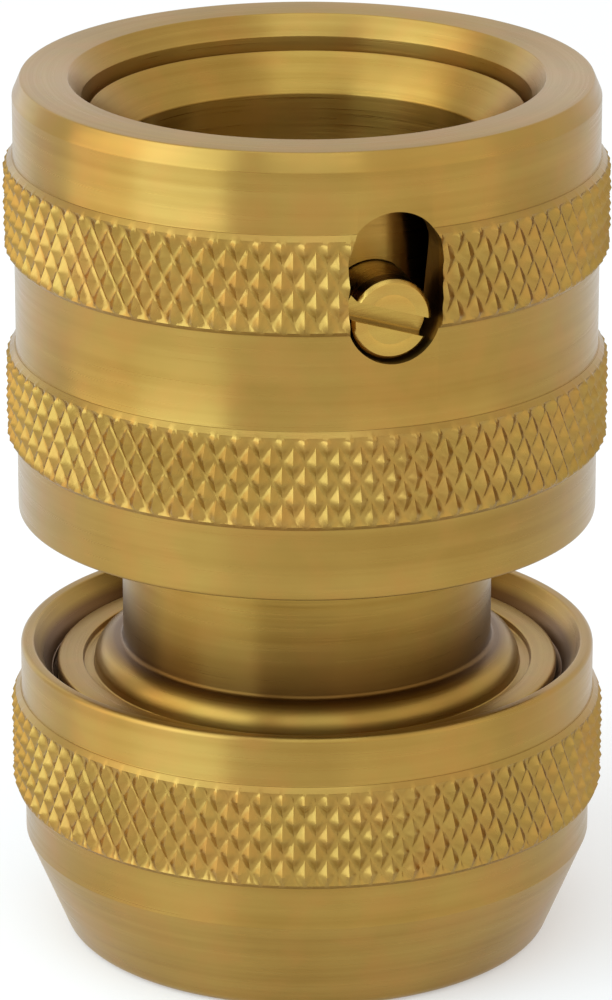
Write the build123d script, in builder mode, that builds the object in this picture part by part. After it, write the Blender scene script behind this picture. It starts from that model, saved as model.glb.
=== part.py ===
from build123d import *
import math
import os

# Quick connector for a half-inch hose, standing on its nut, socket up.
# Z runs up the axis from the nut's lower face, and the guide screw looks along -Y.
# All sizes are in millimetres.

# turned diameters and knurl shared by the sleeve and the nut
smooth_radius = 17.75
knurl_radius = 18.43
knurl_shoulder = 0.4
knurl_depth = 0.36
knurl_teeth = 86
knurl_angle = 30
knurl_ring_bore = 17.0

# locking sleeve
sleeve_bottom = 27.4
sleeve_length = 27.25
rim_chamfer_width = 0.47
rim_chamfer_height = 1.1
rim_flat_inner_radius = 14.4
lip_radius = 13.55
lip_depth = 3.05
funnel_depth = 1.25
knurl_width = 6.1
lower_knurl_rise = 4.45
upper_knurl_rise = 16.35
spring_chamber_radius = 16.0
spring_chamber_top = 40.0
recess_radius = 15.5
land_clearance = 0.07
sleeve_edge_break = 0.25

# balls, and the taper in the sleeve that wedges them inwards
ball_count = 6
ball_radius = 2.0
ball_level = 45.2
ball_circle_radius = 12.32
ball_stroke = 1.12
sleeve_travel = 4.0
running_gap = 0.04

# slot in the sleeve and the guide screw in it
slot_width = 5.73
slot_bottom = 41.83
slot_top = 51.03
slot_side_play = 0.15
screw_level = 44.5
screw_head_radius = 2.42
screw_face_radius = 17.6
screw_seat_radius = 12.7
screw_tip_radius = 11.7
screw_thread_radius = 1.5
screw_edge_break = 0.25
saw_cut_width = 1.15
saw_cut_depth = 1.4
saw_cut_turn = 17
screw_counterbore_radius = 2.48

# body: socket
body_top = 52.65
mouth_radius = 13.06
socket_radius = 11.4
mouth_cone_bottom = 50.3
barrel_radius = 13.5
barrel_chamfer_height = 0.6
socket_floor = 37.5
seal_radius = 8.2
seal_top = 35.0
seal_bottom = 24.0
waterway_radius = 4.75
waterway_top = 22.0
ball_lip_radius = 11.65
ball_exit_radius = 1.9
ball_hole_radius = 2.05

# body: spring seat, neck, threaded skirt and hose tail
spring_seat_top = 31.5
spring_seat_bottom = 29.0
spring_seat_radius = 15.9
neck_radius = 11.4
neck_fillet = 0.8
neck_foot = 18.74
bead_radius = 13.2
bead_swell = 0.3
groove_radius = 13.9
groove_depth = 0.45
bead_rise = 0.6
skirt_top = 17.45
skirt_collar_radius = 15.5
skirt_collar_bottom = 16.75
skirt_radius = 15.3
skirt_bottom = 10.8
skirt_edge_break = 0.4
hose_pocket_radius = 10.6
hose_pocket_top = 16.3
tail_bottom = 1.0
tail_root_radius = 6.4
tail_crest_radius = 7.1
tail_tip_radius = 5.7
barb_count = 3
barb_pitch = 4.0
barb_lead = 3.0
barb_land = 0.35

# spring
spring_wire_radius = 0.65
spring_mean_radius = 15.0
spring_turns = 3

# nut
nut_top = 18.7
nut_lip_inner_radius = 17.0
nut_lip_round = 0.3
nut_mouth_radius = 15.9
nut_mouth_bottom = 16.75
nut_thread_radius = 15.36
nut_thread_bottom = 8.2
nut_knurl_bottom = 9.1
nut_knurl_top = 15.65
nut_lower_radius = 17.6
nut_taper_top = 6.37
nut_taper_radius = 14.95
nut_corner_round = 1.0
nut_cone_radius = 10.9
nut_cone_bottom = 2.2
hose_hole_radius = 10.0
hose_hole_chamfer = 0.4

# clamp ring
ring_top = 10.6
ring_radius = 15.1
ring_bottom = 2.5
ring_bore_radius = 10.2
ring_tooth_height = 0.4
ring_tooth_pitch = 1.6
ring_gap = 0.1
ring_finger_count = 8
ring_slit_width = 1.2
ring_slit_top = 8.6

sleeve_top = sleeve_bottom + sleeve_length
lower_knurl = sleeve_bottom + lower_knurl_rise
upper_knurl = sleeve_bottom + upper_knurl_rise
nut_knurl_middle = (nut_knurl_bottom + nut_knurl_top) / 2
# the grooves lean by the knurl's angle, which sets how far its rows of tips lie apart
knurl_row_height = math.pi * knurl_radius / knurl_teeth / math.tan(math.radians(knurl_angle))

# Moving down by its travel, the sleeve lets each ball out by its stroke: that is the taper's slope.
taper_slope = ball_stroke / sleeve_travel
taper_angle = math.atan(taper_slope)
taper_radius_at_ball = ball_circle_radius + (ball_radius + running_gap) / math.cos(taper_angle)
land_radius = barrel_radius + land_clearance
taper_bottom = ball_level + (land_radius - taper_radius_at_ball) / taper_slope
taper_top = ball_level + (recess_radius - taper_radius_at_ball) / taper_slope


def knurl_row(level, row, at_end):
    """Tips and groove crossings round the knurl: they take turns along a row, and from row to row."""
    points = []
    for place in range(2 * knurl_teeth):
        if (row + place) % 2:
            radius = knurl_radius - knurl_depth
        elif at_end:
            radius = knurl_radius - knurl_shoulder
        else:
            radius = knurl_radius
        turn = math.pi * place / knurl_teeth
        points.append((radius * math.cos(turn), radius * math.sin(turn), level))
    return points


def knurl_facets(bottom, top):
    """Facets of a knurled band: four to each pyramid, and a flat end above and below."""
    row_count = round((top - bottom) / knurl_row_height)
    rows = [
        knurl_row(bottom + (top - bottom) * row / row_count, row, row in (0, row_count))
        for row in range(row_count + 1)
    ]
    facets = [Face(Wire.make_polygon(rows[0])), Face(Wire.make_polygon(rows[-1]))]
    for row in range(row_count):
        for place in range(2 * knurl_teeth):
            following = (place + 1) % (2 * knurl_teeth)
            low, low_next = rows[row][place], rows[row][following]
            high, high_next = rows[row + 1][place], rows[row + 1][following]
            # a groove runs from crossing to crossing, so the facets meet along that diagonal
            if (row + place) % 2:
                triangles = [(low, low_next, high_next), (low, high_next, high)]
            else:
                triangles = [(low, low_next, high), (low_next, high_next, high)]
            facets += [Face(Wire.make_polygon(triangle)) for triangle in triangles]
    return facets


def barbs():
    """Outline points of the hose tail's barbs, going up from the tip."""
    points = []
    for i in range(barb_count):
        foot = tail_bottom + i * barb_pitch
        crest = foot + barb_lead
        points += [
            (tail_root_radius if i else tail_tip_radius, foot),
            (tail_crest_radius, crest),
            (tail_crest_radius, crest + barb_land),
            (tail_root_radius, crest + barb_land),
        ]
    return points


# body, turned in one piece: socket, spring seat, neck, threaded skirt and hose tail
with BuildPart() as connector_body:
    with BuildSketch(Plane.XZ):
        with BuildLine():
            Polyline(
                (mouth_radius, body_top),
                (socket_radius, mouth_cone_bottom),
                (socket_radius, socket_floor),
                (seal_radius, seal_top),
                (seal_radius, seal_bottom),
                (waterway_radius, waterway_top),
                (waterway_radius, tail_bottom),
                *barbs(),
                (tail_root_radius, hose_pocket_top),
                (hose_pocket_radius, hose_pocket_top),
                (hose_pocket_radius, skirt_bottom),
                (skirt_radius - skirt_edge_break, skirt_bottom),
                (skirt_radius, skirt_bottom + skirt_edge_break),
                (skirt_radius, skirt_collar_bottom),
                (skirt_collar_radius, skirt_collar_bottom),
                (skirt_collar_radius, skirt_top),
                (groove_radius, skirt_top),
                (groove_radius, skirt_top - groove_depth),
                (bead_radius, skirt_top - groove_depth),
            )
            ThreePointArc(
                (bead_radius, skirt_top - groove_depth),
                (bead_radius - bead_swell * (bead_radius - neck_radius), skirt_top + bead_rise),
                (neck_radius, neck_foot),
            )
            Polyline(
                (neck_radius, neck_foot),
                (neck_radius, spring_seat_bottom),
                (spring_seat_radius, spring_seat_bottom),
                (spring_seat_radius, spring_seat_top),
                (barrel_radius, spring_seat_top),
                (barrel_radius, body_top - barrel_chamfer_height),
                (mouth_radius, body_top),
            )
        make_face()
    revolve(axis=Axis.Z)
    circles = connector_body.edges().filter_by(GeomType.CIRCLE)
    under_seat = circles.sort_by_distance((neck_radius, 0, spring_seat_bottom))[0]
    fillet(under_seat, radius=neck_fillet)
    # ball holes, each with a narrow lip at the socket that keeps the ball in
    for k in range(ball_count):
        turn = 360 * (k + 0.5) / ball_count - 90
        out = Vector(math.cos(math.radians(turn)), math.sin(math.radians(turn)), 0)
        with BuildSketch(Plane(origin=out * ball_lip_radius + Vector(0, 0, ball_level), z_dir=out)):
            Circle(ball_hole_radius)
        extrude(amount=ball_radius + running_gap + barrel_radius - ball_lip_radius, mode=Mode.SUBTRACT)
        with BuildSketch(Plane(origin=out * seal_radius + Vector(0, 0, ball_level), z_dir=out)):
            Circle(ball_exit_radius)
        extrude(amount=barrel_radius - seal_radius, mode=Mode.SUBTRACT)
    # counterbore and tapped hole of the guide screw
    with BuildSketch(Plane(origin=(0, -screw_seat_radius, screw_level), z_dir=(0, -1, 0))):
        Circle(screw_counterbore_radius)
    extrude(amount=barrel_radius - screw_seat_radius, mode=Mode.SUBTRACT)
    with BuildSketch(Plane(origin=(0, -seal_radius, screw_level), z_dir=(0, -1, 0))):
        Circle(screw_thread_radius + running_gap / 2)
    extrude(amount=barrel_radius - seal_radius, mode=Mode.SUBTRACT)
connector_body.part.label = "connector_body"

# knurled bands: rings of pyramids between two crossing rows of grooves
knurl_rings = []
for bottom, top in (
    (lower_knurl, lower_knurl + knurl_width),
    (upper_knurl, upper_knurl + knurl_width),
    (nut_knurl_bottom, nut_knurl_top),
):
    with BuildPart() as knurl_ring:
        add(Solid(Shell(knurl_facets(bottom, top))))
        with Locations((0, 0, bottom)):
            Cylinder(
                radius=knurl_ring_bore,
                height=top - bottom,
                align=(Align.CENTER, Align.CENTER, Align.MIN),
                mode=Mode.SUBTRACT,
            )
    knurl_rings.append(knurl_ring.part)
lower_ring, upper_ring, nut_ring = knurl_rings

# locking sleeve, with the guide slot milled through its wall
with BuildPart() as locking_sleeve:
    with BuildSketch(Plane.XZ):
        with BuildLine():
            Polyline(
                (spring_chamber_radius + sleeve_edge_break, sleeve_bottom),
                (smooth_radius - sleeve_edge_break, sleeve_bottom),
                (smooth_radius, sleeve_bottom + sleeve_edge_break),
                (smooth_radius, sleeve_top - rim_chamfer_height),
                (smooth_radius - rim_chamfer_width, sleeve_top),
                (rim_flat_inner_radius, sleeve_top),
                (lip_radius, sleeve_top - funnel_depth),
                (lip_radius, sleeve_top - lip_depth),
                (recess_radius, sleeve_top - lip_depth),
                (recess_radius, taper_top),
                (land_radius, taper_bottom),
                (land_radius, spring_chamber_top),
                (spring_chamber_radius, spring_chamber_top),
                (spring_chamber_radius, sleeve_bottom + sleeve_edge_break),
                close=True,
            )
        make_face()
    revolve(axis=Axis.Z)
    add([lower_ring, upper_ring])
    # the sleeve stands turned a little, so that the slot's left side is nearer the screw's head
    slot_foot = (slot_side_play, -socket_radius, (slot_bottom + slot_top) / 2)
    with BuildSketch(Plane(origin=slot_foot, x_dir=(0, 0, 1), z_dir=(0, -1, 0))):
        SlotOverall(slot_top - slot_bottom, slot_width)
    extrude(amount=knurl_radius, mode=Mode.SUBTRACT)
locking_sleeve.part.label = "locking_sleeve"

# compression spring between the body's seat and the sleeve's shoulder
with BuildPart() as sleeve_spring:
    spring_height = spring_chamber_top - spring_seat_top - 2 * (spring_wire_radius + running_gap)
    with BuildLine():
        coil = Helix(
            pitch=spring_height / spring_turns,
            height=spring_height,
            radius=spring_mean_radius,
            center=(0, 0, spring_seat_top + spring_wire_radius + running_gap),
        )
    with BuildSketch(Plane(origin=coil @ 0, z_dir=coil % 0)):
        Circle(spring_wire_radius)
    sweep(is_frenet=True)
sleeve_spring.part.label = "sleeve_spring"

# guide screw: cheese head with a saw cut, standing in the sleeve's slot
with BuildPart() as guide_screw:
    with BuildSketch(Plane(origin=(0, -screw_seat_radius, screw_level), z_dir=(0, -1, 0))):
        Circle(screw_head_radius)
    extrude(amount=screw_face_radius - screw_seat_radius)
    rim = guide_screw.edges().filter_by(GeomType.CIRCLE).sort_by(Axis.Y)[0]
    chamfer(rim, length=screw_edge_break)
    with BuildSketch(Plane(origin=(0, -screw_seat_radius, screw_level), z_dir=(0, 1, 0))):
        Circle(screw_thread_radius)
    extrude(amount=screw_seat_radius - screw_tip_radius)
    face_plane = Plane(origin=(0, -screw_face_radius, screw_level), x_dir=(1, 0, 0), z_dir=(0, -1, 0))
    with BuildSketch(face_plane):
        Rectangle(2 * knurl_radius, saw_cut_width, rotation=-saw_cut_turn)
    extrude(amount=-saw_cut_depth, mode=Mode.SUBTRACT)
guide_screw.part.label = "guide_screw"

# locking balls
locking_balls = []
for k in range(ball_count):
    turn = 360 * (k + 0.5) / ball_count - 90
    with BuildPart() as locking_ball:
        with Locations((
            ball_circle_radius * math.cos(math.radians(turn)),
            ball_circle_radius * math.sin(math.radians(turn)),
            ball_level,
        )):
            Sphere(ball_radius)
    locking_ball.part.label = f"locking_ball_{k + 1}"
    locking_balls.append(locking_ball)

# hose nut
with BuildPart() as hose_nut:
    with BuildSketch(Plane.XZ):
        with BuildLine():
            Polyline(
                (hose_hole_radius + hose_hole_chamfer, 0),
                (nut_taper_radius, 0),
                (nut_lower_radius, nut_taper_top),
                (nut_lower_radius, nut_knurl_middle),
                (smooth_radius, nut_knurl_middle),
                (smooth_radius, nut_top),
                (nut_lip_inner_radius, nut_top),
                (nut_mouth_radius, nut_mouth_bottom),
                (nut_thread_radius, nut_mouth_bottom),
                (nut_thread_radius, nut_thread_bottom),
                (nut_cone_radius, nut_cone_bottom),
                (hose_hole_radius, nut_cone_bottom),
                (hose_hole_radius, hose_hole_chamfer),
                close=True,
            )
        make_face()
    revolve(axis=Axis.Z)
    circles = hose_nut.edges().filter_by(GeomType.CIRCLE)
    fillet(circles.group_by(Axis.Z)[0].sort_by(SortBy.RADIUS)[-1], radius=nut_corner_round)
    lip_edges = hose_nut.edges().filter_by(GeomType.CIRCLE).group_by(Axis.Z)[-1]
    fillet(lip_edges, radius=nut_lip_round)
    add(nut_ring)
hose_nut.part.label = "hose_nut"

# clamp ring: toothed fingers in the nut's taper that close on the hose
cone_slope = (nut_thread_radius - nut_cone_radius) / (nut_thread_bottom - nut_cone_bottom)


def ring_cone_radius(level):
    """Outside radius of the fingers at a level, just inside the nut's taper."""
    return nut_cone_radius + cone_slope * (level - nut_cone_bottom) - ring_gap


def ring_teeth():
    """Outline points of the ring's bore, going down, with its clamping teeth."""
    points = []
    count = int((ring_top - ring_bottom) / ring_tooth_pitch)
    for i in range(count):
        level = ring_top - i * ring_tooth_pitch
        points += [
            (ring_bore_radius, level),
            (ring_bore_radius - ring_tooth_height, level - ring_tooth_pitch),
        ]
    return points


with BuildPart() as clamp_ring:
    cone_top = nut_cone_bottom + (ring_radius + ring_gap - nut_cone_radius) / cone_slope
    with BuildSketch(Plane.XZ):
        with BuildLine():
            Polyline(
                (ring_cone_radius(ring_bottom), ring_bottom),
                (ring_radius, cone_top),
                (ring_radius, ring_top),
                *ring_teeth(),
                (ring_bore_radius - ring_tooth_height, ring_bottom),
                close=True,
            )
        make_face()
    revolve(axis=Axis.Z)
    with BuildSketch(Plane.XY.offset(ring_bottom)):
        with PolarLocations((ring_bore_radius + ring_radius) / 2, ring_finger_count):
            Rectangle(ring_radius, ring_slit_width)
    extrude(amount=ring_slit_top - ring_bottom, mode=Mode.SUBTRACT)
clamp_ring.part.label = "clamp_ring"

os.makedirs("parts", exist_ok=True)
pieces = [connector_body, locking_sleeve, sleeve_spring, guide_screw, *locking_balls, hose_nut, clamp_ring]
for piece in pieces:
    export_step(piece.part, f"parts/{piece.part.label}.step")
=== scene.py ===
# Looks of a brass hose quick connector: turned surfaces, knurls, threads, finishes, light and camera.
import bpy
import math
import numpy as np
from mathutils import Matrix, Vector


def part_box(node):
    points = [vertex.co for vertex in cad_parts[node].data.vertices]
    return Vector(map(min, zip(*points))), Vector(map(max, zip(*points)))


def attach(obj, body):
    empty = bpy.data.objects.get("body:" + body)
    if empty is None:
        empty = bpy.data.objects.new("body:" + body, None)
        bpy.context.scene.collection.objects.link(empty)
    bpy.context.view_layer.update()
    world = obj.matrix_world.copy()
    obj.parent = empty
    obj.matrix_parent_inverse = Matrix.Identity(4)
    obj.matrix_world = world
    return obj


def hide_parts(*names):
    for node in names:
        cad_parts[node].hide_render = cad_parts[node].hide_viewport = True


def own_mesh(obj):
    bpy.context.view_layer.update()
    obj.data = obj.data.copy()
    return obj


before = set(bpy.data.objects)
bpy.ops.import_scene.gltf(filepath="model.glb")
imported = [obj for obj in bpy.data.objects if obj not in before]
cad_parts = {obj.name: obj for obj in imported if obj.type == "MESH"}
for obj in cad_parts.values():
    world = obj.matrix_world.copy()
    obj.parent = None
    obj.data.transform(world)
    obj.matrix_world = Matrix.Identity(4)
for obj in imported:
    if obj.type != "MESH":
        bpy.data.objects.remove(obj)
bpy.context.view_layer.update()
mm = 0.001
fullTurn = 2 * math.pi


def levels(node):
    # lowest and highest level of a CAD node, in mm
    low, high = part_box(node)
    return low.z / mm, high.z / mm


# turned surfaces: the pieces' lengths are in mm until their meshes are made, all else is in metres
def softened(corners):
    # open outline of (radius, level, rounding), whose rounded corners become arcs that touch both sides:
    # a point on an arc is its middle + (sin((1 - share) sweep) first + sin(share sweep) last) / sin(sweep)
    points = []
    for i, (radius, level, rounding) in enumerate(corners):
        here = np.array([radius, level], float)
        if rounding == 0:
            points.append(here)
            continue
        before = np.array(corners[i - 1][:2], float) - here
        after = np.array(corners[i + 1][:2], float) - here
        before /= np.linalg.norm(before)
        after /= np.linalg.norm(after)
        half = math.acos(np.clip(before @ after, -1, 1)) / 2
        reach = rounding / math.tan(half)
        middle = here + (before + after) / np.linalg.norm(before + after) * rounding / math.sin(half)
        first, last = here + before * reach - middle, here + after * reach - middle
        sweep = math.pi - 2 * half
        steps = 3 + int(4 * rounding)
        for share in np.arange(steps + 1) / steps:
            arm = (math.sin((1 - share) * sweep) * first + math.sin(share * sweep) * last) / math.sin(sweep)
            points.append(middle + arm)
    return np.array(points)


def evenTurn(columns):
    # evenly spaced angles round a full turn
    return np.arange(columns) * fullTurn / columns


def turned(outline, turn):
    # block of rings: radius and level for each outline point (rows) and each angle (columns)
    count = len(turn)
    return {"radius": np.repeat(outline[:, :1], count, 1), "level": np.repeat(outline[:, 1:2], count, 1),
            "turn": turn, "lean": None}


def gridFaces(start, rows, columns, lean):
    # quads between neighbouring rings, or two triangles each, cut along the diagonal that lean picks
    i, j = np.mgrid[0:rows - 1, 0:columns]
    a = start + i * columns + j
    b = start + i * columns + (j + 1) % columns
    c, d = b + columns, a + columns
    if lean is None:
        return np.stack([a, b, c, d], -1).reshape(-1, 4).tolist()
    first = np.where(lean[..., None], np.stack([a, b, c], -1), np.stack([a, b, d], -1))
    second = np.where(lean[..., None], np.stack([a, c, d], -1), np.stack([b, c, d], -1))
    return first.reshape(-1, 3).tolist() + second.reshape(-1, 3).tolist()


def seamFaces(startA, countA, startB, countB):
    # faces from ring A to ring B, whose point counts may differ by a whole odd factor
    factor = max(countA, countB) // min(countA, countB)
    fine, coarse = (startA, startB) if countA >= countB else (startB, startA)
    j = np.arange(max(countA, countB))
    following = (j + 1) % len(j)
    if factor == 1:
        return np.stack([startA + j, startA + following, startB + following, startB + j], -1).tolist()
    half = factor // 2
    q = np.arange(min(countA, countB))
    near = coarse + (j // factor + (j % factor >= half)) % len(q)
    fans = np.stack([fine + j, fine + following, near], -1)
    bridges = np.stack([fine + q * factor + half, coarse + (q + 1) % len(q), coarse + q], -1)
    faces = np.concatenate([fans, bridges])
    return (faces if countA > countB else faces[:, ::-1]).tolist()


def latheMesh(blocks, closed=True):
    # point = (radius cos turn, radius sin turn, level); the blocks follow one another round the outline
    points, faces, starts, total = [], [], [], 0
    for block in blocks:
        radius, turn = block["radius"], block["turn"]
        ring = [radius * np.cos(turn), radius * np.sin(turn), block["level"]]
        points.append(np.stack(ring, -1).reshape(-1, 3))
        faces += gridFaces(total, *block["radius"].shape, block["lean"])
        starts.append(total)
        total += block["radius"].size
    for i in range(len(blocks) if closed else len(blocks) - 1):
        k = (i + 1) % len(blocks)
        countA, countB = len(blocks[i]["turn"]), len(blocks[k]["turn"])
        faces += seamFaces(starts[i] + blocks[i]["radius"].size - countA, countA, starts[k], countB)
    if not closed:
        # a point on the axis closes each end
        first, last = len(blocks[0]["turn"]), len(blocks[-1]["turn"])
        points.append(np.array([[0, 0, blocks[0]["level"][0, 0]], [0, 0, blocks[-1]["level"][-1, 0]]]))
        j = np.arange(first)
        faces += np.stack([(j + 1) % first, j, np.full(first, total)], -1).tolist()
        j = np.arange(last)
        start = total - last
        faces += np.stack([start + j, start + (j + 1) % last, np.full(last, total + 1)], -1).tolist()
    return np.concatenate(points), faces


def placed(points, origin, along):
    # local z goes along a horizontal direction, local y goes up
    z = np.array(along, float)
    x = np.cross([0, 0, 1.0], z)
    return points @ np.array([x, np.cross(z, x), z]) + np.array(origin, float)


def prism(outline, low, high):
    # straight prism over a flat outline, between two local levels
    count = len(outline)
    points = np.concatenate([np.column_stack([outline, np.full(count, z)]) for z in (low, high)])
    j = np.arange(count)
    k = (j + 1) % count
    sides = np.stack([j, k, k + count, j + count], -1).tolist()
    return points, sides + [list(range(count))[::-1], list(range(count, 2 * count))]


def meshObject(name, points, faces):
    mesh = bpy.data.meshes.new(name)
    mesh.from_pydata((points * mm).tolist(), [], faces)
    mesh.update()
    triangles = np.empty((len(mesh.loop_triangles), 3), int)
    mesh.loop_triangles.foreach_get("vertices", triangles.reshape(-1))
    a, b, c = (points[triangles[:, k]] for k in range(3))
    # the volume under the faces, as signed tetrahedra, is negative where they point inwards
    if np.einsum("ij,ij->i", a, np.cross(b, c)).sum() < 0:
        mesh.flip_normals()
    obj = bpy.data.objects.new(name, mesh)
    bpy.context.scene.collection.objects.link(obj)
    return obj


def joined(parts):
    # several closed meshes as one list of points and faces
    points, faces, count = [], [], 0
    for partPoints, partFaces in parts:
        points.append(partPoints)
        faces += [[index + count for index in face] for face in partFaces]
        count += len(partPoints)
    return np.concatenate(points), faces


def cutAway(piece, name, points, faces):
    # takes a closed mesh's volume out of the piece
    cutter = meshObject(name, points, faces)
    modifier = piece.modifiers.new(name, "BOOLEAN")
    modifier.operation, modifier.solver, modifier.object = "DIFFERENCE", "EXACT", cutter
    bpy.context.view_layer.update()
    cut = bpy.data.meshes.new_from_object(piece.evaluated_get(bpy.context.evaluated_depsgraph_get()))
    piece.modifiers.clear()
    piece.data = cut
    bpy.data.objects.remove(cutter)


def finishPiece(piece, node, body, materials, sharpAngle=35):
    piece.data.materials.clear()
    for material in materials:
        piece.data.materials.append(material)
    piece.data.shade_smooth()
    piece.data.set_sharp_from_angle(angle=math.radians(sharpAngle))
    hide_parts(node)
    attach(piece, body)
    print(f"{piece.name}: {len(piece.data.vertices)} points")


# knurl: two crossing families of grooves leave rows of pyramids
knurl = {
    "teeth": 86,
    "angle": 30,            # between the grooves and the axis, in degrees
    "tip": 18.43,
    "depth": 0.44,          # from tip to groove floor
    "dome": 1.0,            # 1 is a flat-sided pyramid, more bulges it
    "grooveShare": 0.14,    # share of the half pitch that the groove's floor takes
    "flankLines": (0.37, 0.63),    # further grid lines, as shares of the half pitch
    "blend": 0.03,          # softness of the pyramids' edges
    "secondDepth": 0.92,    # the second family of grooves is this much as deep
    "shoulder": 0.6,        # chamfer at the band's ends
    "clear": 0.78,          # the grid's full rows keep this far from the band's ends
    "foot": 0.06,           # step at the band's foot, above the smooth wall
    "footRound": 0.04,
    "border": 0.03,         # faces this far outside the smooth wall are knurl
    "unevenness": 0.1,      # how much lower some pyramids stand
}
# grid lines in a half pitch
knurlSteps = np.array([0, knurl["grooveShare"], *knurl["flankLines"], 1 - knurl["grooveShare"]])
rowHeight = math.pi * knurl["tip"] / knurl["teeth"] / math.tan(math.radians(knurl["angle"]))
knurlTurn = ((np.arange(2 * knurl["teeth"])[:, None] + knurlSteps) / 2).ravel() * fullTurn / knurl["teeth"]
ringTurn = evenTurn(2 * knurl["teeth"])


def grooveWave(phase):
    # 0 in the middle of a groove, 1 halfway to the next
    return 1 - np.abs(2 * (phase % 1) - 1)


def flank(share):
    # 0 over the groove's floor, then 1 - (1 - rise) ** dome up to the tip
    rise = np.clip((share - knurl["grooveShare"]) / (1 - knurl["grooveShare"]), 0, 1)
    return 1 - (1 - rise) ** knurl["dome"]


def knurlBand(bottom, top, seed):
    # radius = tip - depth * fade * (1 - smaller of the two families' flanks), under the band's chamfered ends
    teeth, tip, depth = (knurl[key] for key in ("teeth", "tip", "depth"))
    blend, shoulder = knurl["blend"], knurl["shoulder"]
    middle = (bottom + top) / 2
    reach = int((top - bottom) / rowHeight) + 1
    rows = middle + ((np.arange(-reach, reach)[:, None] + knurlSteps) * rowHeight).ravel()
    rows = rows[(rows > bottom + knurl["clear"]) & (rows < top - knurl["clear"])]
    level = np.concatenate([[bottom, bottom + shoulder / 2, bottom + shoulder], rows,
                            [top - shoulder, top - shoulder / 2, top]])
    across, along = np.meshgrid(knurlTurn * teeth / fullTurn, (level - middle) / (2 * rowHeight))
    first = flank(grooveWave(across + along))
    second = 1 - knurl["secondDepth"] * (1 - flank(grooveWave(across - along)))
    near = np.clip(blend - np.abs(first - second), 0, None) / blend
    height = np.minimum(first, second) - near ** 2 * blend / 4
    # each pyramid lies between two neighbouring grooves of each family, and has its own share of the height
    shares = np.random.default_rng(seed).uniform(1 - knurl["unevenness"], 1, (teeth, teeth))
    cells = [np.floor(grooves).astype(int) % teeth for grooves in (across + along, across - along)]
    height *= shares[cells[0], cells[1]]
    inward = np.minimum(level - bottom, top - level)
    chamfer = tip - np.clip(shoulder - inward, 0, None)
    # the grooves run out halfway down the chamfer
    fade = np.clip(2 * inward / shoulder - 1, 0, 1)
    radius = np.minimum(tip - depth * fade[:, None] * (1 - height), chamfer[:, None])
    # the quads split along the nearer groove, so that no groove is stepped
    halfRow = np.diff(along, axis=0) / 2
    halfColumn = np.diff(across, axis=1, append=across[:, :1] + teeth) / 2
    u, v = (across + halfColumn)[:-1], along[:-1] + halfRow
    lean = grooveWave(u + v) > grooveWave(u - v)
    level = np.repeat(level[:, None], len(knurlTurn), 1)
    return {"radius": radius, "level": level, "turn": knurlTurn, "lean": lean}


def markKnurl(piece, ring):
    # faces that stand outside a radius take the piece's second material
    centres = np.empty(3 * len(piece.data.polygons))
    piece.data.polygons.foreach_get("center", centres)
    x, y, z = centres.reshape(-1, 3).T
    piece.data.polygons.foreach_set("material_index", (np.hypot(x, y) > ring * mm).astype(np.int32))


# thread: one right-hand helix that the body's skirt and the nut share
hoseThread = {"pitch": 1.5, "root": 14.85, "height": 0.85, "gap": 0.1, "crestShare": 0.14, "rowsPerPitch": 14,
              "entry": 0.5}


def threadBlock(bottom, top, turn, extra):
    # ridge height depends on level / pitch - turn / full turn, and fades in over the entry at both ends
    pitch = hoseThread["pitch"]
    rows = np.linspace(bottom, top, int((top - bottom) / pitch * hoseThread["rowsPerPitch"]) + 1)
    around, level = np.meshgrid(turn, rows)
    wave = grooveWave(level / pitch - around / fullTurn)
    crest = hoseThread["crestShare"]
    ridge = np.clip((wave - crest) / (1 - 2 * crest), 0, 1)
    fade = np.clip(np.minimum(level - bottom, top - level) / hoseThread["entry"], 0, 1)
    root = hoseThread["root"] + extra
    blank = root + (hoseThread["height"] if extra else 0)
    radius = blank + (root + hoseThread["height"] * ridge - blank) * fade
    return {"radius": radius, "level": level, "turn": turn, "lean": None}


class Shade:
    # one number or colour that varies over a surface; sums and products of numbers add Math nodes
    def __init__(self, finish, socket):
        self.finish, self.socket = finish, socket

    def reckon(self, operation, first, second):
        return self.finish.node("ShaderNodeMath", {"operation": operation}, {0: first, 1: second})

    def __add__(self, other):
        return self.reckon("ADD", self, other)

    def __sub__(self, other):
        return self.reckon("SUBTRACT", self, other)

    def __mul__(self, other):
        return self.reckon("MULTIPLY", self, other)

    def __rsub__(self, other):
        return self.reckon("SUBTRACT", other, self)

    __radd__ = __add__
    __rmul__ = __mul__


class Finish:
    # a node tree, and the one way that its nodes are made: settings first, then the sockets' values or links
    def __init__(self, tree):
        self.tree = tree
        self.tree.nodes.clear()

    def node(self, kind, settings, inputs, output=0):
        made = self.tree.nodes.new(kind)
        for key, value in settings.items():
            setattr(made, key, value)
        for key, value in inputs.items():
            if isinstance(value, Shade):
                self.tree.links.new(value.socket, made.inputs[key])
            else:
                made.inputs[key].default_value = value
        return Shade(self, made.outputs[output]) if len(made.outputs) else None

    def mixed(self, share, first, second):
        # colour between two colours
        colours = [c if isinstance(c, Shade) else (*c, 1) for c in (first, second)]
        return self.node("ShaderNodeMix", {"data_type": "RGBA"}, {0: share, 6: colours[0], 7: colours[1]}, 2)

    def noise(self, vector, scale, detail=2.0, rough=0.5):
        return self.node("ShaderNodeTexNoise", {"noise_dimensions": "3D"},
                         {"Vector": vector, "Scale": scale, "Detail": detail, "Roughness": rough})

    def ramp(self, value, low, high, start=0.0, end=1.0):
        # straight run from start to end while the value goes from low to high
        return self.node("ShaderNodeMapRange", {"clamp": True}, {0: value, 1: low, 2: high, 3: start, 4: end})


def newMaterial(name):
    material = bpy.data.materials.new(name)
    material.use_nodes = True
    return material, Finish(material.node_tree)


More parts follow.
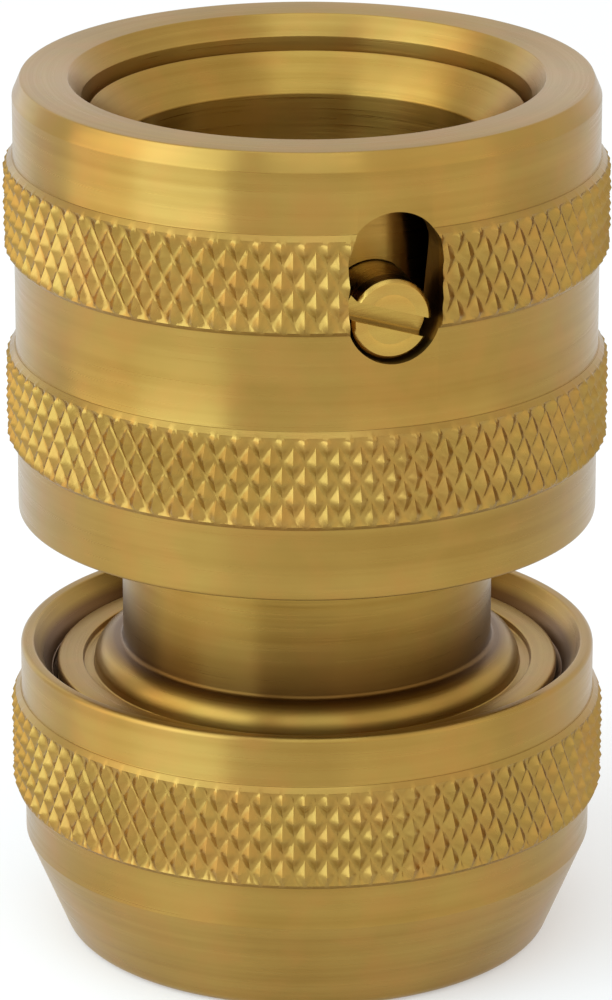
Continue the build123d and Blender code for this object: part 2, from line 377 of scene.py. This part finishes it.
brassLook = {
    "bright": (0.388, 0.243, 0.053),
    "deep": (0.313, 0.182, 0.034),
    "blush": (0.43, 0.197, 0.045),
    # colour of the painted shade that the recess and pocket masks lay on
    "paintedShade": (0.13, 0.055, 0.012),
    "roughness": 0.29,
    "anisotropy": 0.85,
    "coat": 0.15,
    "coatRoughness": 0.3,
    "lineDepth": 0.0000016,
    "fineMarks": (90, 9000),       # noise scale round the axis, and along the outline
    "coarseMarks": (25, 1400),
    "patchScale": 120,
    "cloudScale": 420,
    "blushShare": 0.45,
    "pocketMost": 0.9,
}


def brassMaterial(name, changes=None, recess=None, pocket=None):
    # recess is (low, high, most, outer): painted shade below the high level, most at the low one, inside a
    # radius
    # pocket is (low, high, inner, outer): painted shade between two levels and two radii
    brass = {**brassLook, **(changes or {})}
    material, f = newMaterial(name)
    place = f.node("ShaderNodeTexCoord", {}, {}, 3)
    flat = f.node("ShaderNodeVectorMath", {"operation": "MULTIPLY"}, {0: place, 1: (1, 1, 0)})
    out = f.node("ShaderNodeVectorMath", {"operation": "LENGTH"}, {0: flat}, 1)
    x, y, z = (f.node("ShaderNodeSeparateXYZ", {}, {0: place}, k) for k in range(3))
    # turning marks: noise that is long round the axis and fine along the outline
    run = z + out * 1.7
    fine, coarse = (f.node("ShaderNodeCombineXYZ", {}, {0: x * across, 1: y * across, 2: run * along})
                    for across, along in (brass["fineMarks"], brass["coarseMarks"]))
    fine, coarse = f.noise(fine, 1.0, 3.0, 0.65), f.noise(coarse, 1.0)
    patch = f.noise(place, brass["patchScale"], 3.0)
    cloud = f.noise(place, brass["cloudScale"], 3.0)
    tone = f.ramp(coarse * 0.45 + patch * 0.55, 0.35, 0.65)
    colour = f.mixed(tone, brass["deep"], brass["bright"])
    blush = f.ramp(cloud * 0.6 + patch * 0.4, 0.45, 0.68, 0.0, brass["blushShare"])
    colour = f.mixed(blush, colour, brass["blush"])
    # painted shade in a recess, darker towards its low level
    if recess:
        low, high, most, outer = recess
        share = f.ramp(z + patch * 0.002, low * mm, high * mm, most, 0.0)
        share = share * (1 - f.ramp(out, outer * mm, (outer + 0.8) * mm))
        colour = f.mixed(share, colour, brass["paintedShade"])
    # painted shade on the walls between two levels and two radii
    if pocket:
        low, high, inner, outer = pocket
        wall = f.ramp(out, inner * mm, (inner + 0.1) * mm) * (1 - f.ramp(out, (outer - 0.3) * mm, outer * mm))
        between = f.ramp(z, (low - 0.3) * mm, low * mm) * (1 - f.ramp(z, high * mm, (high + 0.3) * mm))
        colour = f.mixed(wall * between * brass["pocketMost"], colour, brass["paintedShade"])
    rough = f.ramp(fine, 0.3, 0.7, brass["roughness"] - 0.05, brass["roughness"] + 0.07) + patch * 0.04
    bump = f.node("ShaderNodeBump", {}, {"Strength": 1.0, "Distance": brass["lineDepth"],
                                         "Height": fine + coarse * 0.8})
    shader = f.node("ShaderNodeBsdfPrincipled", {"distribution": "GGX"}, {
        "Base Color": colour, "Metallic": 1.0, "Roughness": rough, "Normal": bump,
        "Anisotropic": brass["anisotropy"], "Anisotropic Rotation": 0.25,
        "Coat Weight": brass["coat"], "Coat Roughness": brass["coatRoughness"]})
    f.node("ShaderNodeOutputMaterial", {}, {"Surface": shader})
    return material


def steelMaterial(name, colour, roughness, grain):
    material, f = newMaterial(name)
    place = f.node("ShaderNodeTexCoord", {}, {}, 3)
    cloud = f.noise(place, grain, 4.0, 0.6)
    tint = f.mixed(f.ramp(cloud, 0.3, 0.7), tuple(c * 0.86 for c in colour), colour)
    rough = f.ramp(cloud, 0.3, 0.7, roughness - 0.04, roughness + 0.06)
    bump = f.node("ShaderNodeBump", {}, {"Strength": 1.0, "Distance": 0.000002, "Height": cloud})
    shader = f.node("ShaderNodeBsdfPrincipled", {}, {
        "Base Color": tint, "Metallic": 1.0, "Roughness": rough, "Normal": bump})
    f.node("ShaderNodeOutputMaterial", {}, {"Surface": shader})
    return material


def plasticMaterial(name):
    material, f = newMaterial(name)
    place = f.node("ShaderNodeTexCoord", {}, {}, 3)
    grain = f.noise(place, 5000, 3.0)
    cloud = f.noise(place, 150, 2.0)
    tint = f.mixed(cloud, (0.66, 0.63, 0.56), (0.72, 0.70, 0.64))
    rough = f.ramp(grain, 0.3, 0.7, 0.42, 0.55)
    bump = f.node("ShaderNodeBump", {}, {"Strength": 1.0, "Distance": 0.00001, "Height": grain})
    shader = f.node("ShaderNodeBsdfPrincipled", {}, {"Base Color": tint, "Roughness": rough, "Normal": bump,
                                                     "Subsurface Weight": 0.1})
    f.node("ShaderNodeOutputMaterial", {}, {"Surface": shader})
    return material


# brass of the knurled bands: its shine has no direction, and its turning marks are shallower
knurlBrass = brassMaterial("knurlBrass", {"anisotropy": 0.0, "roughness": 0.25, "lineDepth": 0.000001})
print("knurl and finishes ready")

# sleeve, with painted shade in its slot and inside
sleeve = {
    "smooth": 17.75, "edge": 0.25, "rimWidth": 0.47, "rimHeight": 1.1, "rimInner": 14.4,
    "lip": 13.55, "lipDepth": 3.05, "funnelDepth": 1.25, "recess": 15.5, "taperTop": 48.99,
    "land": 13.57, "taperFoot": 42.1, "chamber": 16.0, "chamberTop": 40.0,
    "bandRises": (4.45, 16.35), "bandWidth": 6.1,
    "slotLow": 41.83, "slotHigh": 51.03, "slotWidth": 5.73, "slotSide": 0.15, "slotCut": (12.0, 20.0),
    "wallMiddle": 17.0, "wallSeam": 16.8, "seeds": (3, 4), "shadeOuter": 17.45,
}
# painted shade on the slot's walls and the sleeve's inside, out to a radius just under the outer wall
sleevePocket = (sleeve["slotLow"], sleeve["slotHigh"], 0.0, sleeve["shadeOuter"])
sleeveBrass = brassMaterial("sleeveBrass", pocket=sleevePocket)
foot, head = levels("locking_sleeve")
smooth, edge = sleeve["smooth"], sleeve["edge"]
lowerBand, upperBand = ((foot + rise, foot + rise + sleeve["bandWidth"]) for rise in sleeve["bandRises"])
shoulderRing, footRound = smooth + knurl["foot"], knurl["footRound"]
outsideBelow = softened([
    (sleeve["wallMiddle"], foot, 0), (smooth, foot, edge), (smooth, lowerBand[0], footRound),
    (shoulderRing, lowerBand[0], 0)])
outsideBetween = softened([
    (shoulderRing, lowerBand[1], 0), (smooth, lowerBand[1], footRound), (smooth, upperBand[0], footRound),
    (shoulderRing, upperBand[0], 0)])
outsideAbove = softened([
    (shoulderRing, upperBand[1], 0), (smooth, upperBand[1], footRound),
    (smooth, head - sleeve["rimHeight"], 0.25), (smooth - sleeve["rimWidth"], head, 0.12),
    (sleeve["wallMiddle"], head, 0)])
sleeveInside = softened([
    (sleeve["wallSeam"], head, 0), (sleeve["rimInner"], head, 0.12),
    (sleeve["lip"], head - sleeve["funnelDepth"], 0.12), (sleeve["lip"], head - sleeve["lipDepth"], 0.1),
    (sleeve["recess"], head - sleeve["lipDepth"], 0),
    (sleeve["recess"], sleeve["taperTop"], 0), (sleeve["land"], sleeve["taperFoot"], 0),
    (sleeve["land"], sleeve["chamberTop"], 0.15), (sleeve["chamber"], sleeve["chamberTop"], 0),
    (sleeve["chamber"], foot, edge), (sleeve["wallSeam"], foot, 0)])
lockingSleeve = meshObject("locking_sleeve_turned", *latheMesh([
    turned(outsideBelow, knurlTurn), knurlBand(*lowerBand, sleeve["seeds"][0]),
    turned(outsideBetween, knurlTurn), knurlBand(*upperBand, sleeve["seeds"][1]),
    turned(outsideAbove, knurlTurn), turned(sleeveInside, ringTurn)]))

# guide slot: two half circles joined by straight sides, cut through the wall
halfWidth = sleeve["slotWidth"] / 2
arc = np.linspace(0, math.pi, 33)
slotOutline = np.concatenate([
    np.column_stack([halfWidth * np.cos(arc), sleeve["slotHigh"] - halfWidth + halfWidth * np.sin(arc)]),
    np.column_stack([-halfWidth * np.cos(arc), sleeve["slotLow"] + halfWidth - halfWidth * np.sin(arc)])])
slotPoints, slotFaces = prism(slotOutline, *sleeve["slotCut"])
cutAway(lockingSleeve, "guideSlot", placed(slotPoints, (sleeve["slotSide"], 0, 0), (0, -1, 0)), slotFaces)
markKnurl(lockingSleeve, smooth + knurl["border"])
finishPiece(lockingSleeve, "locking_sleeve", "sleeve", [sleeveBrass, knurlBrass])

# hose nut, with painted shade in its mouth
nut = {
    "band": (9.1, 15.65), "smooth": 17.75, "lower": 17.6, "taperTop": 6.37, "taperFoot": 14.95, "corner": 1.0,
    "lipInner": 17.0, "lipRound": 0.3, "mouth": 15.85, "mouthFoot": 16.75, "threadFoot": 8.2,
    "cone": 10.9, "coneFoot": 2.2, "hoseHole": 10.0, "holeChamfer": 0.35, "threadRelief": 15.2,
    "headSeam": (17.4, 17.35), "footSeam": (12.5, 13.0), "seed": 5, "pocket": (12.0, 18.0, 0.0, 16.6),
}
# painted shade inside the nut's mouth, between two levels and within a radius
nutBrass = brassMaterial("nutBrass", pocket=nut["pocket"])
nutFoot, nutHead = levels("hose_nut")
nutBand = [nutFoot + rise for rise in nut["band"]]
nutBelow = softened([
    (nut["footSeam"][1], nutFoot, 0), (nut["taperFoot"], nutFoot, nut["corner"]),
    (nut["lower"], nut["taperTop"], 0.12), (nut["lower"], nutBand[0], 0.1), (shoulderRing, nutBand[0], 0)])
nutAbove = softened([
    (shoulderRing, nutBand[1], 0), (nut["smooth"], nutBand[1], footRound),
    (nut["smooth"], nutHead, nut["lipRound"]), (nut["headSeam"][0], nutHead, 0)])
nutMouth = softened([
    (nut["headSeam"][1], nutHead, 0), (nut["lipInner"], nutHead, nut["lipRound"] - 0.05),
    (nut["mouth"], nut["mouthFoot"], 0)])
nutThread = threadBlock(nut["threadFoot"], nut["mouthFoot"] - 0.02, ringTurn, hoseThread["gap"])
# the outline runs down inside the nut, so the thread's rows are turned over
nutThread = {**nutThread, "radius": nutThread["radius"][::-1], "level": nutThread["level"][::-1]}
nutInside = softened([
    (nut["threadRelief"], nut["threadFoot"] - 0.2, 0), (nut["cone"], nut["coneFoot"], 0.1),
    (nut["hoseHole"], nut["coneFoot"], 0.1), (nut["hoseHole"], nutFoot, nut["holeChamfer"]),
    (nut["footSeam"][0], nutFoot, 0)])
hoseNut = meshObject("hose_nut_turned", *latheMesh([
    turned(nutBelow, knurlTurn), knurlBand(*nutBand, nut["seed"]), turned(nutAbove, knurlTurn),
    turned(nutMouth, ringTurn), nutThread, turned(nutInside, ringTurn)]))
markKnurl(hoseNut, smooth + knurl["border"])
finishPiece(hoseNut, "hose_nut", "nut", [nutBrass, knurlBrass])

# body: socket, spring seat, neck, threaded skirt and hose tail, with painted shade at the neck's foot
body = {
    "columns": 192,
    "tailTip": 5.7, "tailRoot": 6.4, "tailCrest": 7.1,
    "barbs": 3, "barbPitch": 4.0, "barbLead": 3.0, "barbLand": 0.35,
    "pocket": 10.6, "pocketTop": 16.3, "skirtFoot": 10.8, "skirtLead": (14.4, 14.84), "threadTop": 15.2,
    "collar": 15.5, "collarFoot": 16.75, "collarTop": 17.45, "groove": 13.9, "grooveFloor": 17.0,
    "bead": 13.2, "beadRound": 1.5, "neck": 11.4, "neckFoot": 18.74, "neckRound": 0.27,
    "seat": 15.9, "seatFoot": 29.0, "seatTop": 31.5, "seatFillet": 0.8,
    "barrel": 13.5, "topChamfer": 0.6, "mouth": 13.06, "mouthFoot": 50.3, "socket": 11.4,
    "socketMiddle": 44.0, "socketFloor": 37.5,
    "seal": 8.2, "sealTop": 35.0, "sealFoot": 24.0, "waterway": 4.75, "waterwayTop": 22.0,
    "ballLevel": 45.2, "ballHole": 2.05, "ballExit": 1.9, "ballLip": 11.65, "ballTurn": -60, "balls": 6,
    "screwLevel": 44.5, "screwSeat": 12.7, "counterbore": 2.48, "tapped": 1.55, "holeCut": (7.0, 15.0),
    "finish": {"coat": 0.03, "paintedShade": (0.095, 0.037, 0.007)}, "recess": (18.9, 26.0, 0.95, 11.9),
}
# the finish's darker colour, laid on by the recess mask, is painted shade at the neck's foot, under the
# sleeve
bodyBrass = brassMaterial("bodyBrass", body["finish"], recess=body["recess"])
bodyFoot, bodyHead = levels("connector_body")
bodyTurn = evenTurn(body["columns"])
tail = []
for barb in range(body["barbs"]):
    start = bodyFoot + body["barbPitch"] * barb
    crest = start + body["barbLead"]
    drop = crest + body["barbLand"]
    tail += [(body["tailRoot"] if barb else body["tailTip"], start, 0), (body["tailCrest"], crest, 0.1),
             (body["tailCrest"], drop, 0.08), (body["tailRoot"], drop, 0)]
lowerBody = softened(tail + [
    (body["tailRoot"], body["pocketTop"], 0.3), (body["pocket"], body["pocketTop"], 0.3),
    (body["pocket"], body["skirtFoot"], 0.2), (body["skirtLead"][0], body["skirtFoot"], 0),
    (body["skirtLead"][1], body["skirtFoot"] + 0.2, 0)])
skirtThread = threadBlock(body["skirtFoot"] + 0.3, body["collarFoot"] - 0.05, bodyTurn, 0.0)
upperBody = softened([
    (body["threadTop"], body["collarFoot"], 0), (body["collar"], body["collarFoot"], 0.05),
    (body["collar"], body["collarTop"], 0.2), (body["groove"], body["collarTop"], 0.08),
    (body["groove"], body["grooveFloor"], 0.15), (body["bead"], body["grooveFloor"], 0.1),
    (body["bead"], body["neckFoot"], body["beadRound"]), (body["neck"], body["neckFoot"], body["neckRound"]),
    (body["neck"], body["seatFoot"], body["seatFillet"]), (body["seat"], body["seatFoot"], 0.15),
    (body["seat"], body["seatTop"], 0.15), (body["barrel"], body["seatTop"], 0.1),
    (body["barrel"], bodyHead - body["topChamfer"], 0.1), (body["mouth"], bodyHead, 0.08),
    (body["socket"], body["mouthFoot"], 0.3), (body["socket"], body["socketMiddle"], 0),
    (body["socket"], body["socketFloor"], 0.1), (body["seal"], body["sealTop"], 0.3),
    (body["seal"], body["sealFoot"], 0.1),
    (body["waterway"], body["waterwayTop"], 0.3), (body["waterway"], bodyFoot, 0)])
connectorBody = meshObject("connector_body_turned", *latheMesh([
    turned(lowerBody, bodyTurn), skirtThread, turned(upperBody, bodyTurn)]))


def pin(outline, columns):
    # solid of revolution along local z, closed at both ends
    return latheMesh([turned(np.array(outline, float), evenTurn(columns))], closed=False)


# each pin reaches from the socket to outside the barrel; its first and last rings only close its ends
near, far = body["holeCut"]
ballHole = pin([(1.0, near), (body["ballExit"], near), (body["ballExit"], body["ballLip"]),
                (body["ballHole"], body["ballLip"]), (body["ballHole"], far), (1.0, far)], 48)
screwHole = pin([(0.8, near), (body["tapped"], near), (body["tapped"], body["screwSeat"]),
                 (body["counterbore"], body["screwSeat"]), (body["counterbore"], far), (0.8, far)], 64)
holes = [(placed(ballHole[0], (0, 0, body["ballLevel"]), (math.cos(a), math.sin(a), 0)), ballHole[1])
         for a in np.radians(body["ballTurn"]) + evenTurn(body["balls"])]
holes.append((placed(screwHole[0], (0, 0, body["screwLevel"]), (0, -1, 0)), screwHole[1]))
cutAway(connectorBody, "radialHoles", *joined(holes))
finishPiece(connectorBody, "connector_body", "body", [bodyBrass])

# guide screw: a faced head on a short thread, with a saw cut, and painted shade round the head
screw = {
    "head": 2.42, "face": 17.6, "edge": 0.22, "seat": body["screwSeat"], "tip": 11.7,
    "thread": 1.42, "core": 1.2, "pitch": 0.4, "ridges": 2,
    "cut": 1.15, "cutDepth": 1.4, "cutTurn": -17, "cutReach": 4.0, "cutOuter": 19.0,
    # radius and depth of each point
    "faceMarks": ((0.12, 0.07), (0.4, 0.04), (1.35, 0.015), (1.5, 0.06), (1.65, 0.01)),
    "finish": {"bright": (0.50, 0.33, 0.07), "deep": (0.42, 0.26, 0.05), "roughness": 0.25,
               "anisotropy": 0.4},
    "pocket": (41.0, 48.0, 16.4, 17.5),
}
# painted shade on the head's side and on the saw cut's walls, between two radii
screwBrass = brassMaterial("screwBrass", screw["finish"], pocket=screw["pocket"])
faceMarks = [(radius, screw["face"] - depth, 0) for radius, depth in screw["faceMarks"]]
ridges = []
for k in range(screw["ridges"]):
    crest = screw["seat"] - 0.25 - screw["pitch"] * k
    ridges += [(screw["thread"], crest, 0), (screw["core"], crest - screw["pitch"] / 2, 0)]
screwOutline = softened(faceMarks + [
    (screw["head"] - screw["edge"], screw["face"], 0.06),
    (screw["head"], screw["face"] - screw["edge"], 0.06), (screw["head"], screw["seat"], 0.1),
    (screw["thread"], screw["seat"], 0)] + ridges + [(1.0, screw["tip"], 0)])
screwPoints, screwFaces = latheMesh([turned(screwOutline, evenTurn(96))], closed=False)
screwPoints = placed(screwPoints, (0, 0, body["screwLevel"]), (0, -1, 0))
guideScrew = meshObject("guide_screw_turned", screwPoints, screwFaces)
tilt = math.radians(screw["cutTurn"])
cutBox = np.array([(-1, -1), (1, -1), (1, 1), (-1, 1)]) * [screw["cutReach"], screw["cut"] / 2]
cutBox = cutBox @ np.array([[math.cos(tilt), math.sin(tilt)], [-math.sin(tilt), math.cos(tilt)]])
cutPoints, cutFaces = prism(cutBox, screw["face"] - screw["cutDepth"], screw["cutOuter"])
cutAway(guideScrew, "sawCut", placed(cutPoints, (0, 0, body["screwLevel"]), (0, -1, 0)), cutFaces)
finishPiece(guideScrew, "guide_screw", "body", [screwBrass])

# spring: a round wire carried along a helix, its middle turn lying closer than its end turns
spring = {
    "mean": 15.0, "wire": 0.65, "turns": 3.0, "low": 32.2, "high": 39.3, "swing": 0.05,
    "around": 20, "steps": 240, "fixedLevel": 0.0315, "keep": 0.53,
}
share = np.linspace(0, 1, spring["steps"])
lift = share + spring["swing"] * np.sin(fullTurn * share)
turnAngle = share * spring["turns"] * fullTurn
core = np.stack([spring["mean"] * np.cos(turnAngle), spring["mean"] * np.sin(turnAngle),
                 spring["low"] + (spring["high"] - spring["low"]) * lift], -1)
ahead = np.gradient(core, axis=0)
ahead /= np.linalg.norm(ahead, axis=1)[:, None]
outward = np.stack([np.cos(turnAngle), np.sin(turnAngle), np.zeros_like(share)], -1)
side = np.cross(ahead, outward)
around = evenTurn(spring["around"])
tube = core[:, None] + spring["wire"] * (np.cos(around)[None, :, None] * outward[:, None]
                                         + np.sin(around)[None, :, None] * side[:, None])
wirePoints = np.concatenate([tube.reshape(-1, 3), core[[0, -1]]])
wireFaces = gridFaces(0, spring["steps"], spring["around"], None)
j = np.arange(spring["around"])
k = (j + 1) % spring["around"]
lastRing = (spring["steps"] - 1) * spring["around"]
wireFaces += np.stack([k, j, np.full(len(j), len(wirePoints) - 2)], -1).tolist()
wireFaces += np.stack([lastRing + j, lastRing + k, np.full(len(j), len(wirePoints) - 1)], -1).tolist()
springSteel = steelMaterial("springSteel", (0.50, 0.50, 0.49), 0.30, 1800)
sleeveSpring = meshObject("sleeve_spring_wire", wirePoints, wireFaces)
finishPiece(sleeveSpring, "sleeve_spring", "body", [springSteel], 40)
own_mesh(sleeveSpring)

# the balls and the clamp ring keep their CAD shape
ringPlastic = plasticMaterial("ringPlastic")
ballSteel = steelMaterial("ballSteel", (0.62, 0.62, 0.63), 0.10, 900)
ballNames = [f"locking_ball_{k + 1}" for k in range(body["balls"])]
for name, finish in [("clamp_ring", ringPlastic)] + [(ball, ballSteel) for ball in ballNames]:
    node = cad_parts[name]
    node.data.materials.clear()
    node.data.materials.append(finish)
print("balls and clamp ring finished")

# floor, light and camera
look = {
    "aim": (-0.00006, 0, 0.0275), "distance": 0.3586, "azimuth": -16.3, "elevation": 19.4, "lens": 209.5,
    "worldLight": 0.85,
    "floorHalf": 3.0, "floorLevel": -0.00002, "paper": (0.62, 0.62, 0.61, 1), "glow": 0.36,
}


def facing(origin, target):
    # turns an object's -z towards the target, its y upwards
    back = (Vector(origin) - Vector(target)).normalized()
    right = Vector((0, 0, 1)).cross(back).normalized()
    up = back.cross(right)
    turn = Matrix((right, up, back)).transposed()
    return Matrix.Translation(Vector(origin)) @ turn.to_4x4()


azimuth, elevation = math.radians(look["azimuth"]), math.radians(look["elevation"])
ground = math.cos(elevation)
back = Vector((math.sin(azimuth) * ground, -math.cos(azimuth) * ground, math.sin(elevation)))
camera = bpy.data.objects.new("camera", bpy.data.cameras.new("camera"))
camera.data.lens, camera.data.sensor_width = look["lens"], 36
camera.data.clip_start, camera.data.clip_end = 0.01, 20
camera.matrix_world = facing(Vector(look["aim"]) + back * look["distance"], look["aim"])
bpy.context.scene.collection.objects.link(camera)
bpy.context.scene.camera = camera


def panel(name, place, target, width, tall, strength, colour):
    # rectangular light that faces a target; its brightness is its power / (pi * area)
    light = bpy.data.lights.new(name, "AREA")
    light.shape, light.size, light.size_y = "RECTANGLE", width, tall
    light.energy = strength * math.pi * width * tall
    light.color = colour
    lamp = bpy.data.objects.new(name, light)
    lamp.matrix_world = facing(place, target)
    bpy.context.scene.collection.objects.link(lamp)


def roundAbout(turn, distance, height):
    # a place at a direction in degrees round the axis
    return (math.cos(math.radians(turn)) * distance, math.sin(math.radians(turn)) * distance, height)


coolWhite = (0.63, 0.83, 1.0)
warmWhite = (1.0, 0.93, 0.78)
# upright panels that stand on the floor, all one height and equally far from the axis
upright = {"distance": 0.30, "middle": 0.16, "tall": 0.32}
for name, turn, width, strength, colour in (
        ("softboxNear", -155, 0.20, 2.7, coolWhite), ("softboxWide", 170, 0.18, 1.25, warmWhite),
        ("softboxEdge", 115, 0.13, 0.55, coolWhite), ("softboxRight", -60, 0.35, 0.35, warmWhite)):
    place = roundAbout(turn, upright["distance"], upright["middle"])
    panel(name, place, (0, 0, upright["middle"]), width, upright["tall"], strength, colour)
# panels overhead, which face the object's upper part
for name, place, width, tall, strength in (
        ("softboxTop", (-0.06, -0.10, 0.42), 0.30, 0.24, 1.3),
        ("softboxLeft", (-0.30, 0, 0.35), 0.24, 0.24, 1.4),
        ("softboxFront", (-0.08, -0.33, 0.28), 0.24, 0.16, 1.4)):
    panel(name, place, (0, 0, 0.05), width, tall, strength, coolWhite)


def seenRay(finish):
    # 1 for rays that the camera, a reflection or a glass sends out, 0 for those that carry light
    rays = ("Is Camera Ray", "Is Glossy Ray", "Is Transmission Ray")
    first, *others = (finish.node("ShaderNodeLightPath", {}, {}, ray) for ray in rays)
    return sum(others, first)


floorMesh = bpy.data.meshes.new("studioFloor")
half = look["floorHalf"]
corners = [(x * half, y * half, look["floorLevel"]) for x, y in ((-1, -1), (1, -1), (1, 1), (-1, 1))]
floorMesh.from_pydata(corners, [], [(0, 1, 2, 3)])
floor = bpy.data.objects.new("studioFloor", floorMesh)
bpy.context.scene.collection.objects.link(floor)
floorMaterial, f = newMaterial("studioFloor")
paper = f.node("ShaderNodeBsdfDiffuse", {}, {"Color": look["paper"]})
glow = f.node("ShaderNodeEmission", {}, {"Color": (1, 1, 1, 1), "Strength": seenRay(f) * look["glow"]})
f.node("ShaderNodeOutputMaterial", {}, {"Surface": f.node("ShaderNodeAddShader", {}, {0: paper, 1: glow})})
floor.data.materials.append(floorMaterial)

world = bpy.data.worlds.new("studio")
bpy.context.scene.world = world
world.use_nodes = True
w = Finish(world.node_tree)
strength = w.ramp(seenRay(w), 0.0, 1.0, look["worldLight"], 1.0)
w.node("ShaderNodeOutputWorld", {}, {
    "Surface": w.node("ShaderNodeBackground", {}, {"Color": (1, 1, 1, 1), "Strength": strength})})

bpy.context.scene.view_settings.view_transform = "Standard"
print("studio ready")
